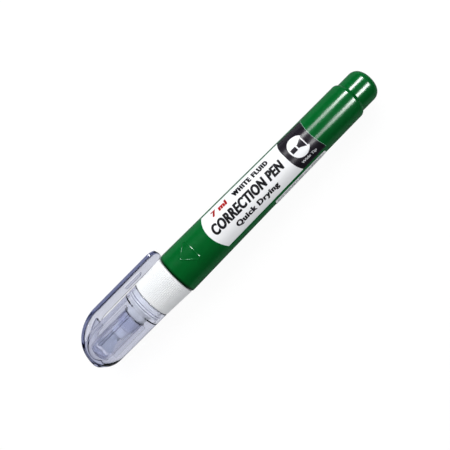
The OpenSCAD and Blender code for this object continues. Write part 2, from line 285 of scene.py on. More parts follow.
class Material(Tree):
    def __init__(self, name):
        self.block = bpy.data.materials.new(name)
        super().__init__(self.block, "ShaderNodeOutputMaterial")
        self.coord = self.add("ShaderNodeTexCoord").outputs["Object"]

    def noise(self, scale=1.0, detail=3.0, rough=0.55, stretch=None, distortion=0.0):
        """noise of one scale, or with its own scale along each axis"""
        vector = self.coord
        if stretch:
            mapping = self.add("ShaderNodeMapping", {"Scale": stretch, "Vector": vector})
            vector = mapping.outputs["Vector"]
        inputs = {"Scale": scale, "Detail": detail, "Roughness": rough,
                  "Distortion": distortion, "Vector": vector}
        return self.add("ShaderNodeTexNoise", inputs).outputs["Fac"]

    def scratches(self, stretch, span):
        return self.ramp(self.noise(detail=2.0, rough=0.5, stretch=stretch), span)

    def x(self):
        return self.add("ShaderNodeSeparateXYZ", {0: self.coord}).outputs["X"]

    def mix(self, factor, a, b):
        return self.add("ShaderNodeMix", {0: factor, 6: a, 7: b}, data_type="RGBA").outputs[2]

    def bump(self, height, distance, strength=1.0, normal=None):
        inputs = {"Distance": distance, "Strength": strength, "Height": height}
        if normal is not None:
            inputs["Normal"] = normal
        return self.add("ShaderNodeBump", inputs).outputs["Normal"]

    def principled(self, **inputs):
        """input names are written with underscores for spaces"""
        inputs = {name.replace("_", " "): value for name, value in inputs.items()}
        return self.add("ShaderNodeBsdfPrincipled", inputs).outputs[0]

    def absorb(self, rates, grain=None):
        """volume that absorbs red, green and blue at these rates per metre"""
        top = max(rates)
        density = top if grain is None else self.math("MULTIPLY", grain, top)
        inputs = {"Color": tuple(1 - rate / top for rate in rates), "Density": density}
        self.finish("Volume", self.add("ShaderNodeVolumeAbsorption", inputs).outputs[0])


def shade(colour, gain, lift=0.0):
    return tuple(min(1.0, c * gain + lift) for c in colour)


# ------------------------------------------------------------------ materials
# painted shade: the colour painted into the barrel's turned-in front edge
RECESS_PAINTED_SHADE = (0.0005, 0.006, 0.002)
# painted shade: the colour of the thin shade lines painted beside the collar's beads, and how far
# each fades
GROOVE_PAINTED_SHADE = (0.035, 0.04, 0.10)
GROOVE_SHADE_FADE = 0.08


def moulded(name, colour, dark=None, rough=0.25, coat=0.0, peel=4e-6, speckle=0.05, sss=0.0,
            scratch=0.1, recess_shade=None, groove_shades=()):
    """moulded plastic: faint flow marks, uneven gloss, handling scratches and orange peel"""
    m = Material(name)
    flow = m.noise(detail=4.0, rough=0.6, stretch=(90, 260, 260), distortion=0.4)
    base = m.mix(m.ramp(flow, span=(0.35, 0.7)), colour, dark or shade(colour, 0.86))
    specks = m.noise(scale=5200.0, detail=2.0)
    base = m.mix(m.ramp(specks, span=(0.62, 0.8), to=(0.0, speckle)), base,
                 shade(colour, gain=1.35, lift=0.02))
    if recess_shade:  # painted shade on the turned-in edge of the joint, darkest next to the collar
        span = (station_x(recess_shade[0]), station_x(recess_shade[1]))
        base = m.mix(m.ramp(m.x(), span, to=(0.85, 0.0)), base, RECESS_PAINTED_SHADE)
    for start, end in groove_shades:  # thin lines of painted shade where the moulded beads meet the groove beside them
        x = m.x()
        fade_in = (station_x(start), station_x(start + GROOVE_SHADE_FADE))
        fade_out = (station_x(end - GROOVE_SHADE_FADE), station_x(end))
        line = m.math("MULTIPLY", m.ramp(x, fade_in, to=(0.0, 0.92)),
                      m.ramp(x, fade_out, to=(1.0, 0.0)))
        base = m.mix(line, base, GROOVE_PAINTED_SHADE)
    along = m.scratches(stretch=(60, 2600, 2600), span=(0.6, 0.78))
    across = m.scratches(stretch=(1900, 240, 240), span=(0.68, 0.82))
    smudge = m.noise(scale=140.0)
    gloss = m.ramp(smudge, span=(0.3, 0.75), to=(rough * 0.8, rough * 1.3))
    roughness = m.math("ADD", gloss, m.math("MULTIPLY", m.math("ADD", along, across), scratch))
    normal = m.bump(m.noise(scale=1500.0, detail=2.0), distance=peel)
    normal = m.bump(m.math("ADD", along, across), distance=1.2e-6, strength=0.5, normal=normal)
    inputs = dict(Base_Color=base, Roughness=roughness, Normal=normal, IOR=1.5,
                  Specular_IOR_Level=0.5)
    if coat:
        inputs.update(Coat_Weight=coat, Coat_Roughness=0.06)
    if sss:
        inputs.update(Subsurface_Weight=sss, Subsurface_Radius=(0.001, 0.001, 0.001),
                      Subsurface_Scale=0.6)
    m.finish("Surface", m.principled(**inputs))
    return m.block


def clear_plastic(name, tint, absorb, rough):
    """tinted plastic that deepens with the light's path, with a hazy, handled surface"""
    m = Material(name)
    smudge = m.noise(scale=170.0, detail=4.0, rough=0.6)
    along = m.scratches(stretch=(50, 2200, 2200), span=(0.66, 0.8))
    haze = m.ramp(smudge, span=(0.35, 0.75), to=(rough * 0.5, rough * 2.2))
    roughness = m.math("ADD", haze, m.math("MULTIPLY", along, 0.05))
    normal = m.bump(m.noise(scale=420.0, detail=2.0), distance=5e-6)
    normal = m.bump(along, distance=1.0e-6, strength=0.4, normal=normal)
    plastic = m.principled(Base_Color=tint, Roughness=roughness, IOR=1.49, Normal=normal,
                           Transmission_Weight=1.0)
    # light reaches what lies inside, so the parts seen through the plastic are not black
    rays = m.add("ShaderNodeLightPath").outputs
    see_through = m.add("ShaderNodeBsdfTransparent", {"Color": (0.88, 0.885, 0.915)}).outputs[0]
    shadow = m.math("MULTIPLY", rays["Is Shadow Ray"], 1.0)
    mixed = m.add("ShaderNodeMixShader", {0: shadow, 1: plastic, 2: see_through})
    m.finish("Surface", mixed.outputs[0])
    m.absorb(absorb)
    return m.block


def tinted_ring(name, absorb):
    """a deeper tint inside clear plastic: it bends no light, and only absorbs it"""
    m = Material(name)
    m.finish("Surface", m.add("ShaderNodeBsdfTransparent").outputs[0])
    grain = m.noise(scale=900.0, rough=0.6)
    m.absorb(absorb, m.ramp(grain, span=(0.3, 0.8), to=(0.85, 1.15)))
    return m.block


def printed(name, colour, rough, dots=0.04, gloss=0.4):
    """ink on film: faint dot grain in the colour and a slightly uneven gloss"""
    m = Material(name)
    grain = m.noise(scale=6500.0, detail=2.0)
    base = m.mix(m.ramp(grain, span=(0.4, 0.7), to=(0.0, dots)), colour,
                 shade(colour, gain=0.55, lift=0.25))
    patches = m.noise(scale=220.0)
    roughness = m.ramp(patches, span=(0.3, 0.75), to=(rough * 0.8, rough * 1.3))
    normal = m.bump(m.noise(scale=2600.0, detail=2.0), distance=1.5e-6)
    m.finish("Surface", m.principled(Base_Color=base, Roughness=roughness, Normal=normal,
                                     Coat_Weight=gloss, Coat_Roughness=0.12))
    return m.block


def metal(name, colour, rough, brushed=(400, 4000, 4000)):
    m = Material(name)
    grain = m.noise(rough=0.6, stretch=brushed)
    base = m.mix(m.ramp(grain, span=(0.3, 0.7)), colour, shade(colour, 0.8))
    roughness = m.ramp(grain, span=(0.3, 0.7), to=(rough * 0.7, rough * 1.5))
    m.finish("Surface", m.principled(Base_Color=base, Metallic=1.0, Roughness=roughness,
                                     Normal=m.bump(grain, distance=1e-6)))
    return m.block


def felt(name, colour):
    m = Material(name)
    fibres = m.noise(scale=2600.0, detail=5.0, rough=0.7)
    tufts = m.noise(scale=700.0, rough=0.6)
    base = m.mix(m.ramp(fibres, span=(0.3, 0.7)), colour, shade(colour, 0.82))
    normal = m.bump(fibres, distance=4e-5, strength=0.8)
    normal = m.bump(tufts, distance=5e-5, strength=0.5, normal=normal)
    m.finish("Surface", m.principled(Base_Color=base, Roughness=0.9, Normal=normal,
                                     Sheen_Weight=0.3))
    return m.block


# the barrel has painted shade at its front edge, next to the collar
GREEN = moulded("barrel_green", (0.0005, 0.118, 0.030), dark=(0.0005, 0.106, 0.027), rough=0.2,
                coat=0.1, recess_shade=(40.8, 41.7), speckle=0.02, scratch=0.06)
# the collar has thin lines of painted shade in the groove beside each bead
WHITE = moulded("collar_white", (0.83, 0.845, 0.855), dark=(0.80, 0.815, 0.83), rough=0.42,
                scratch=0.05, groove_shades=((25.85, 26.15), (26.68, 26.98)))
NOZZLE = moulded("nozzle_white", (0.80, 0.82, 0.83), dark=(0.74, 0.76, 0.77), rough=0.35, sss=0.1)
HEAD = moulded("head_grey", (0.58, 0.61, 0.64), dark=(0.50, 0.53, 0.56), rough=0.4)
SEAL = moulded("tip_seal_grey", (0.50, 0.51, 0.56), rough=0.6)
RUBBER = moulded("ring_black", (0.02, 0.02, 0.022), rough=0.55, peel=8e-6)
ACETAL = moulded("valve_natural", (0.74, 0.75, 0.76), rough=0.4, sss=0.1)
CLEAR = clear_plastic("cap_clear", tint=(0.93, 0.934, 0.956), absorb=(175.0, 166.0, 112.0),
                      rough=0.025)
SLEEVE = clear_plastic("sleeve_clear", tint=(0.955, 0.958, 0.968), absorb=(115.0, 108.0, 66.0),
                       rough=0.04)
LAND = tinted_ring("sleeve_land_tint", absorb=(400.0, 385.0, 250.0))
STEEL = metal("spring_steel", (0.62, 0.62, 0.64), rough=0.22)
BALL = metal("ball_steel", (0.70, 0.71, 0.73), rough=0.12, brushed=(900, 900, 900))
FLUID = moulded("fluid_white", (0.88, 0.88, 0.86), rough=0.2, coat=0.5)
PANEL = printed("panel_white", (0.86, 0.865, 0.885), rough=0.34, gloss=0.25)
# mint print, also used for a painted highlight along the label film's rear edge
MINT_PRINT_AND_EDGE_HIGHLIGHT = printed("outline_mint_and_edge_highlight", (0.50, 0.74, 0.60), rough=0.34, gloss=0.25)
BAND = printed("band_black", (0.018, 0.014, 0.022), rough=0.28, dots=0.05)
INK = printed("ink_dark", (0.016, 0.014, 0.02), rough=0.35)
RED = printed("ink_red", (0.62, 0.02, 0.02), rough=0.35)
FILM = moulded("label_film", (0.002, 0.055, 0.025), dark=(0.002, 0.048, 0.022), rough=0.2,
               coat=0.1)
FELT = felt("pad_felt", (0.85, 0.84, 0.80))
GREY_INK = printed("ink_grey", (0.10, 0.12, 0.12), rough=0.4)


def paint(obj, material):
    obj.data.materials.clear()
    obj.data.materials.append(material)


def piece(name, mesh, material, body, slot, *nodes):
    """object that rides on a body and replaces the named CAD nodes"""
    obj = new_object(name, mesh)
    paint(obj, material)
    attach(obj, body)
    if nodes:
        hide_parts(*nodes)
    return obj


# CAD nodes that keep their shapes and only get materials
KEPT_NODES = {
    "nozzle": NOZZLE, "wide_head": HEAD, "cap_tip_seal": SEAL, "applicator_pad": FELT,
    "nozzle_o_ring": RUBBER, "collar_o_ring": RUBBER, "valve_stem": ACETAL,
    "valve_seal": RUBBER, "valve_cage": ACETAL, "agitator_ball": BALL,
    "correction_fluid": FLUID, "cap_inner_sleeve": SLEEVE,
}
for node_name, node_material in KEPT_NODES.items():
    paint(NODES[node_name], node_material)


# ------------------------------------------------------------------ valve spring
SPRING_BACK = 41.14
SPRING_LENGTH = 11.38


def build_spring(wire=0.25, radius=2.2, turns=7, sides=10, steps=40):
    """round wire coil with a closed turn at each end, as one continuous sweep"""
    start = SPRING_BACK - SPRING_LENGTH + wire
    end = SPRING_BACK - wire
    closed_pitch = 2 * wire + 0.04
    pitch = (end - start - 2 * closed_pitch) / turns
    total = turns + 2
    rings = []
    for i in range(total * steps + 1):
        turn = i / steps
        if turn < 1:
            station = start + closed_pitch * turn
        elif turn < total - 1:
            station = start + closed_pitch + pitch * (turn - 1)
        else:
            station = end - closed_pitch * (total - turn)
        angle = 2 * PI * turn
        rise = (pitch if 1 < turn < total - 1 else closed_pitch) / (2 * PI)
        radial = Vector((0, math.cos(angle), math.sin(angle)))
        along = Vector((rise, -radius * math.sin(angle), radius * math.cos(angle))).normalized()
        side = along.cross(radial)
        centre = Vector((station, 0, 0)) + radial * radius
        ring = []
        for k in range(sides):
            b = 2 * PI * k / sides
            point = centre + (radial * math.cos(b) + side * math.sin(b)) * wire
            ring.append((station_x(point.x), point.y * MM, point.z * MM))
        rings.append(ring)
    return smooth(skin("valve_spring_coil", rings), 40)


coil = piece("valve_spring_coil", build_spring(), STEEL, "barrel", "spring", "valve_spring")
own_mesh(coil)


# ------------------------------------------------------------------ barrel
ARROW_ANGLE = math.radians(17.9)
ARROW_TIP, ARROW_BASE, ARROW_HALF = 46.4, 50.05, 3.17     # inner triangle
ARROW_OFFSET = 0.66               # from the inner triangle out to the middle of the raised line
ARROW_LINE_HALF = 0.36
ARROW_RISE = 0.11
ARROW_ZONE = (43.5, 51.5)
BORE_MOUTH_R = 6.6


def segment_distance(p, a, b):
    ab = (b[0] - a[0], b[1] - a[1])
    ap = (p[0] - a[0], p[1] - a[1])
    t = max(0.0, min(1.0, (ap[0] * ab[0] + ap[1] * ab[1]) / (ab[0] ** 2 + ab[1] ** 2)))
    return math.hypot(ap[0] - ab[0] * t, ap[1] - ab[1] * t)


def arrow_height(station, angle):
    """raised line of the rounded triangle that points to the cap"""
    turn = (angle - ARROW_ANGLE + PI) % (2 * PI) - PI
    if not ARROW_ZONE[0] < station < ARROW_ZONE[1] or abs(turn) > 0.8:
        return 0.0
    y = barrel_radius(station) * math.sin(turn)
    corners = [(ARROW_TIP, 0.0), (ARROW_BASE, ARROW_HALF), (ARROW_BASE, -ARROW_HALF)]
    distance = min(segment_distance((station, y), corners[i], corners[(i + 1) % 3])
                   for i in range(3))
    slope = ARROW_HALF / (ARROW_BASE - ARROW_TIP)
    if ARROW_TIP <= station <= ARROW_BASE and abs(y) <= (station - ARROW_TIP) * slope:
        distance = -distance
    off_line = abs(distance - ARROW_OFFSET)
    if off_line > ARROW_LINE_HALF:
        return 0.0
    return ARROW_RISE * (0.5 + 0.5 * math.cos(PI * off_line / ARROW_LINE_HALF))


def barrel_angles():
    """fine steps across the arrow, coarse ones round the rest"""
    angles = []
    angle = math.radians(-22)
    while angle < math.radians(56):
        angles.append(angle)
        angle += math.radians(0.62)
    last = angles[-1]
    rest = 2 * PI - (last - angles[0])
    count = int(rest / math.radians(2.5))
    return angles + [last + rest * i / count for i in range(1, count)]


def build_barrel():
    def on_cone(station):
        return (barrel_radius(station), station)

    # (radius, station): tail, the step up to the shoulder, the cones, the mouth, the bore
    profile = [(0, TAIL_END), (2.7, TAIL_END)]
    profile += arc(2.93, 127.6, 3.0, 90, 0, 14)
    profile += arc(6.73, 122.5, 0.8, 180, 225, 8)
    profile += arc(SHOULDER_R - 1.6, SHOULDER, 1.6, 45, 0, 8)
    profile += dense([on_cone(119.8), on_cone(KNEE), on_cone(51.6)], 4.0)
    profile += dense([on_cone(51.5), on_cone(43.6)], 0.1)
    profile += fillet([(*on_cone(43.5), 0), (barrel_radius(40.55), 40.5, 1.05),
                       (BORE_MOUTH_R, 40.5, 0.08), (BORE_MOUTH_R, 51.4, 0)], 8)
    profile += [
        (BORE_MOUTH_R, 52.4), (5.85, KNEE), (5.75, 119.7), (4.95, 120.85), (4.93, 122.9),
        (4.93, 127.6), (4.3, 129.0), (2.93, 129.6), (0, 129.6),
    ]

    def raise_arrow(radius, station, angle):
        # the bore is narrower than 7 mm and stays plain
        return radius + arrow_height(station, angle) if radius > 7.0 else radius

    return smooth(revolve("barrel_body", profile, barrel_angles(), raise_arrow), 38)


piece("barrel_body", build_barrel(), GREEN, "barrel", "barrel", "barrel")


# ------------------------------------------------------------------ collar
RIB_COUNT, STEPS_PER_RIB = 72, 12
RIB_DEPTH = 0.17
RIBS_START, RIBS_END = 29.35, 39.7
COLLAR_BORE_R, COLLAR_MOUTH_R = 4.35, 5.25


def build_collar():
    # (radius, station, fillet): the two beads, then the step up to the ribs
    profile = fillet([
        (COLLAR_MOUTH_R, 25.22, 0), (6.0, 25.22, 0.1), (6.2, 25.45, 0.1), (6.2, 25.98, 0.05),
        (6.33, 26.15, 0.08), (6.33, 26.7, 0.08), (6.2, 26.88, 0.05), (6.2, 27.5, 0.05),
        (6.33, 27.66, 0.08), (6.33, 28.98, 0.05), (6.96, 29.0, 0.12), (7.06, 29.15, 0.08),
        (7.07, RIBS_START, 0)], 3)
    profile.append((7.1, 29.45))
    profile += [(7.12 + 0.4 * k / 12, 29.6 + 9.9 * k / 12) for k in range(13)]
    profile.append((7.52, 39.62))
    # the rear rim and the skirt inside the barrel
    profile += fillet([
        (7.52, 39.8, 0), (7.52, 40.2, 0.16), (7.2, 40.4, 0.05), (6.57, 40.42, 0),
        (6.57, 49.0, 0.1), (6.2, 49.5, 0.1), (COLLAR_BORE_R, 49.5, 0)], 3)
    profile += [(COLLAR_BORE_R, 33.0), (COLLAR_MOUTH_R, 32.95)]

    def ribs(radius, station, angle):
        if not RIBS_START < station < RIBS_END or radius < 7.05:
            return radius
        phase = (angle * RIB_COUNT / (2 * PI)) % 1.0
        crest = min(1.0, 1.35 * math.sin(PI * phase) ** 0.8)
        fade = min(1.0, (station - RIBS_START) / 0.25, (RIBS_END - station) / 0.2)
        return radius - RIB_DEPTH * (1 - crest) * fade

    count = RIB_COUNT * STEPS_PER_RIB
    return smooth(revolve("collar_ribbed", profile, count, ribs, closed=True), 50)


piece("collar_ribbed", build_collar(), WHITE, "barrel", "collar", "collar")

# ------------------------------------------------------------------ label helpers
# Labels are drawn flat as (station, arc length); the arc length grows from up towards +Y.
ARC_R = 7.3                             # radius at which the arc lengths are measured
FILM_LOW, FILM_TOP = 0.012, 0.118       # heights above the barrel
PRINT_LOW = FILM_TOP - 0.004            # print starts just inside the film
INK_LOW = FILM_TOP + 0.002              # lettering starts inside the panel's print
INK_TOP = FILM_TOP + 0.011


def arc_length(degrees):
    return math.radians(degrees) * ARC_R


def curve_mesh(curve):
    obj = new_object("curve", curve)
    bpy.context.view_layer.update()
    mesh = evaluated_mesh(obj)
    bpy.data.objects.remove(obj)
    return mesh


def fill(*loops):
    """flat mesh inside closed loops; a loop within another is a hole"""
    curve = bpy.data.curves.new("fill", "CURVE")
    curve.dimensions = "2D"
    curve.fill_mode = "BOTH"
    for loop in loops:
        spline = curve.splines.new("POLY")
        spline.points.add(len(loop) - 1)
        for point, (x, y) in zip(spline.points, loop):
            point.co = (x, y, 0, 1)
        spline.use_cyclic_u = True
    return curve_mesh(curve)


def text(body, stations, arcs, shear, bold, spacing):
    """lettering as a flat mesh that fills a box"""
    curve = bpy.data.curves.new("text", "FONT")
    curve.body = body
    curve.size = 1.0
    curve.shear = shear
    curve.offset = bold
    curve.space_character = spacing
    curve.resolution_u = 5
    mesh = curve_mesh(curve)
    for axis, (start, end) in enumerate((stations, arcs)):
        values = [v.co[axis] for v in mesh.vertices]
        low, high = min(values), max(values)
        for v in mesh.vertices:
            v.co[axis] = start + (v.co[axis] - low) / (high - low) * (end - start)
    return mesh


def heavy(body, stations, arcs, bold, spread, shear=0.0, spacing=1.0):
    """thicker strokes: copies of the same lettering, a little apart along the pen"""
    return [text(body, (stations[0] + d, stations[1] + d), arcs, shear, bold, spacing)
            for d in (-spread, 0.0, spread)]


def rect(s0, s1, v0, v1, corner=0.0):
    if corner <= 0:
        return [(s0, v0), (s1, v0), (s1, v1), (s0, v1)]
    points = []
    for x, y, start in ((s1 - corner, v0 + corner, -90), (s1 - corner, v1 - corner, 0),
                        (s0 + corner, v1 - corner, 90), (s0 + corner, v0 + corner, 180)):
        points += arc(x, y, corner, start, start + 90, 4)
    return points


def cut(bm, point, normal):
    bmesh.ops.bisect_plane(bm, geom=bm.verts[:] + bm.edges[:] + bm.faces[:], dist=1e-6,
                           plane_co=point, plane_no=normal)


def wrap(name, flats, low, high, arc_step=0.25):
    """wraps flat meshes round the barrel as a closed layer from low to high above it"""
    bm = bmesh.new()
    for mesh in flats:
        bm.from_mesh(mesh)
    bmesh.ops.remove_doubles(bm, verts=bm.verts[:], dist=1e-5)
    arcs = [v.co.y for v in bm.verts]
    k = math.floor(min(arcs) / arc_step) + 1
    while k * arc_step < max(arcs):
        cut(bm, (0, k * arc_step, 0), (0, 1, 0))
        k += 1
    if max(v.co.x for v in bm.verts) > KNEE > min(v.co.x for v in bm.verts):
        cut(bm, (KNEE, 0, 0), (1, 0, 0))
    bmesh.ops.delete(bm, geom=[v for v in bm.verts if not v.link_faces], context="VERTS")
    bmesh.ops.recalc_face_normals(bm, faces=bm.faces[:])
    bm.verts.index_update()
    flat = [(v.co.x, v.co.y) for v in bm.verts]
    count = len(flat)
    verts = [place(s, v / ARC_R, barrel_radius(s) + lift) for lift in (high, low) for s, v in flat]
    faces = []
    for face in bm.faces:
        ids = [v.index for v in face.verts]
        if face.normal.z < 0:
            ids = ids[::-1]
        faces.append(tuple(ids))
        faces.append(tuple(i + count for i in reversed(ids)))
    for edge in bm.edges:
        if len(edge.link_faces) == 1:
            a, b = edge.verts[0].index, edge.verts[1].index
            faces.append((a, b, b + count, a + count))
    bm.free()
    return smooth(mesh_from(name, verts, faces), 40)


def label_layer(name, flats, low, high, material, slot, *nodes):
    piece(name, wrap(name, flats, low, high), material, "barrel", slot, *nodes)


# ------------------------------------------------------------------ front label
LABEL_DEGREES = (-49.1, 66.5)
LABEL_LO, LABEL_HI = (arc_length(degrees) for degrees in LABEL_DEGREES)
LABEL_MIDDLE = math.radians(sum(LABEL_DEGREES) / 2)
PANEL_INSET = 0.26


def across_label(v):
    """distance to the side of the label's middle line, for an arc length"""
    return 7.4 * math.sin(v / ARC_R - LABEL_MIDDLE)


def label_front(v):
    return 66.77 - math.sqrt(9.6 ** 2 - across_label(v) ** 2)


def label_rear(v):
    return 115.86 - math.sqrt(12.8 ** 2 - across_label(v) ** 2)


def band_front(v):
    return 92.2 + 2.3 * (abs(across_label(v)) / 6.6) ** 3.2


def outline(front, front_shift, rear, rear_shift, margin, steps=60):
    """loop between two edge curves, each shifted along the pen, with a margin at the sides"""
    v0, v1 = LABEL_LO + margin, LABEL_HI - margin
    arcs = [v0 + (v1 - v0) * k / steps for k in range(steps + 1)]
    return ([(front(v) + front_shift, v) for v in arcs]
            + [(rear(v) + rear_shift, v) for v in reversed(arcs)])


DISC_STATION, DISC_ARC = 97.6, arc_length(8.6)
DISC_HALF_LENGTH, DISC_HALF_WIDTH = 3.55, 3.93
SLOT_STATION, SLOT_HALF = 100.15, 1.75


def open_disc():
    """oval whose rear is open, where a slot of the band's colour runs in"""
    turns = [2 * PI * k / 96 for k in range(96)]
    oval = [(DISC_STATION + DISC_HALF_LENGTH * math.cos(t),
             DISC_ARC + DISC_HALF_WIDTH * math.sin(t)) for t in turns]
    kept = [p for p in oval if not (p[0] > SLOT_STATION and abs(p[1] - DISC_ARC) < SLOT_HALF)]
    # the loop starts after its widest gap, which is the slot
    start = max(range(len(kept)), key=lambda i: math.hypot(kept[i][0] - kept[i - 1][0],
                                                           kept[i][1] - kept[i - 1][1]))
    kept = kept[start:] + kept[:start]
    return kept + [(SLOT_STATION, kept[-1][1]), (SLOT_STATION, kept[0][1])]


# (station, arc length from the disc's middle) round the flared mark in the disc
FLARE = [
    (97.3, -0.62), (97.3, 0.55), (98.0, 0.75), (98.95, 1.35),
    (99.8, 1.8), (99.8, -1.9), (98.95, -1.42), (98.0, -0.82),
]


def build_front_label():
    label_layer("label_film", [fill(outline(label_front, 0, label_rear, 0, margin=0))],
                FILM_LOW, FILM_TOP, FILM, "front_label", "front_label")
    label_layer("label_outline_and_edge_highlight",
                [fill(outline(label_front, 0.1, band_front, 0.1, margin=0.1)),
                 # painted highlight: a thin mint line just inside the film's rear edge, for the
                 # light caught on that edge
                 fill(outline(label_rear, -0.13, label_rear, -0.06, margin=0.02))],
                PRINT_LOW, FILM_TOP + 0.002, MINT_PRINT_AND_EDGE_HIGHLIGHT, "front_label")
    label_layer("label_panel",
                [fill(outline(label_front, PANEL_INSET, band_front, 0, margin=PANEL_INSET))],
                PRINT_LOW, FILM_TOP + 0.007, PANEL, "front_label")

    disc = open_disc()
    block = rect(94.6, 96.8, DISC_ARC - 0.85, DISC_ARC + 0.75, corner=0.12)
    flare = [(station, DISC_ARC + offset) for station, offset in FLARE]
    band = outline(band_front, 0, label_rear, -0.2, margin=PANEL_INSET * 0.5)
    label_layer("label_band", [fill(band, disc), fill(block), fill(flare)],
                PRINT_LOW, FILM_TOP + 0.006, BAND, "front_label")
    label_layer("label_disc",
                [fill(disc, block, flare)]
                + heavy("Wide Tip", (94.9, 101.3), (-4.75, -3.45), bold=0.02, spread=0.03),
                PRINT_LOW, FILM_TOP + 0.007, PANEL, "front_label")
    label_layer("label_lettering",
                heavy("CORRECTION PEN", (59.25, 90.15), (-0.72, 2.9), bold=0.035, spread=0.12,
                      shear=0.2, spacing=1.1)
                + heavy("WHITE FLUID", (72.0, 87.2), (4.25, 6.4), bold=0.05, spread=0.13,
                        spacing=1.3)
                + heavy("Quick Drying", (66.2, 84.8), (-4.3, -1.85), bold=0.035, spread=0.1,
                        spacing=1.12),
                INK_LOW, INK_TOP, INK, "front_label")
    label_layer("label_red_note",
                heavy("7 ml", (62.6, 69.3), (4.4, 6.6), bold=0.045, spread=0.1, shear=0.15,
                      spacing=1.1),
                INK_LOW, INK_TOP, RED, "front_label")


build_front_label()

# ------------------------------------------------------------------ back label
BACK_LO, BACK_HI = arc_length(-156), arc_length(-60.5)
MARK_LENGTHS = (1.1, 2.3, 0.8, 1.7, 2.9, 1.3)
MARK_GAP, MARK_HEIGHT = 0.38, 0.42
ROW_PITCH = 0.95
ROW_START, ROW_LAST_MARK, ROW_END = 81.2, 102.3, 102.8     # stations


def fine_print():
    """rows of small marks that stand for fine print"""
    marks = []
    v = BACK_HI - 0.55
    row = 0
    while v - 0.45 > BACK_LO + 0.4:
        station = ROW_START
        k = 0
        while station < ROW_LAST_MARK:
            length = MARK_LENGTHS[(k * 5 + row * 3) % len(MARK_LENGTHS)]
            length = min(length, ROW_END - station)
            marks.append(fill(rect(station, station + length, v - MARK_HEIGHT, v)))
            station += length + MARK_GAP
            k += 1
        v -= ROW_PITCH
        row += 1
    return marks


label_layer("back_label_film", [fill(rect(80.4, 103.6, BACK_LO, BACK_HI, corner=0.6))],
            FILM_LOW, FILM_TOP, PANEL, "back_label", "back_label")
label_layer("back_label_rows", fine_print(), PRINT_LOW, FILM_TOP + 0.006, GREY_INK, "back_label")

# ------------------------------------------------------------------ cap
CLIP_ANGLE = math.radians(108.8)        # direction of the clip, from up towards +Y
TO_CLIP = Vector((0, math.sin(CLIP_ANGLE), math.cos(CLIP_ANGLE)))
ACROSS_CLIP = Vector((0, -math.cos(CLIP_ANGLE), math.sin(CLIP_ANGLE)))    # to its upper side

NOSE = 0.8                              # station of the cap's nose
DOME_LENGTH, DOME_R, DOME_POWER = 7.2, 6.9, 2.2
CREST = 10.82                           # radius of the clip's outer face
CLIP_CURVE_LENGTH, CLIP_CURVE_POWER = 12.6, 1.83
CLIP_END = 40.9
CLIP_CORNER = 3.4                       # radius of the free end's corners, seen from outside
CLIP_HALF, CLIP_THICK = 4.5, 1.35
CLIP_CROWN = 0.2                        # how far the outer face drops at its edges
CLIP_EDGE = 0.3                         # rounding of its long edges
CLIP_TAPER = 0.32                       # length over which the free end thins


def clip_point(station, radius, across):
    return (Vector((station_x(station), 0, 0)) + TO_CLIP * (radius * MM)
            + ACROSS_CLIP * (across * MM))


def dome_depth(radius):
    inside = 1 - (abs(radius) / DOME_R) ** DOME_POWER
    return DOME_LENGTH * (1 - inside ** (1 / DOME_POWER))


def clip_curve(k, steps, lift=0.0):
    """(station, radius) on the clip's side outline, from the nose to the crest"""
    radius, depth = superellipse(PI / 2 * k / steps, CREST, CLIP_CURVE_LENGTH, CLIP_CURVE_POWER)
    return (NOSE + depth, radius - lift)


def strap_path():
    """(station, radius) along the clip's outer face, from under the nose to the free end"""
    points = []
    for k in range(14, 0, -1):
        radius = -4.4 * k / 14
        points.append((NOSE + 0.85 * dome_depth(radius), radius))
    points += [clip_curve(k, 40) for k in range(41)]
    station = 14.4
    while station < 37.4:
        points.append((station, CREST))
        station += 1.3
    points += [(CLIP_END - CLIP_CORNER + CLIP_CORNER * math.sin(PI / 2 * k / 14), CREST)
               for k in range(15)]
    out = [points[0]]
    for p in points[1:]:
        if math.hypot(p[0] - out[-1][0], p[1] - out[-1][1]) > 0.03:
            out.append(p)
    return out


def nose_half_width(depth):
    """the clip widens quickly with the distance from the nose"""
    return CLIP_HALF * (1 - math.exp(-(depth + 1.1) / 1.5))


def strap_half_width(station, radius):
    half = nose_half_width(station - NOSE)
    if radius < 0:
        half = min(half, nose_half_width(0) + 0.16 * abs(radius))
    past = station - (CLIP_END - CLIP_CORNER)
    if past > 0:
        half = min(half, CLIP_HALF - CLIP_CORNER + math.sqrt(CLIP_CORNER ** 2 - past ** 2))
    return half


def strap_section(w, h):
    """(across, outwards) round a section of half width w and half thickness h"""
    crown = CLIP_CROWN * (w / CLIP_HALF) ** 2
    e = min(CLIP_EDGE, h * 0.75)
    flat = 2 * w - 2 * e
    points = []
    for k in range(13):
        x = -w + e + flat * k / 12
        points.append((x, h - crown * (x / w) ** 2))
    edge = h - crown * ((w - e) / w) ** 2
    middle = (edge - h) / 2
    points += arc(w - e, edge - e, e, 90, 0, 6)[1:-1]
    points.append((w, middle))
    points += arc(w - e, -h + e, e, 0, -90, 6)[1:-1]
    points += [(w - e - flat * k / 6, -h) for k in range(7)]
    points += arc(-w + e, -h + e, e, -90, -180, 6)[1:-1]
    points.append((-w, middle))
    points += arc(-w + e, edge - e, e, 180, 90, 6)[1:-1]
    return points


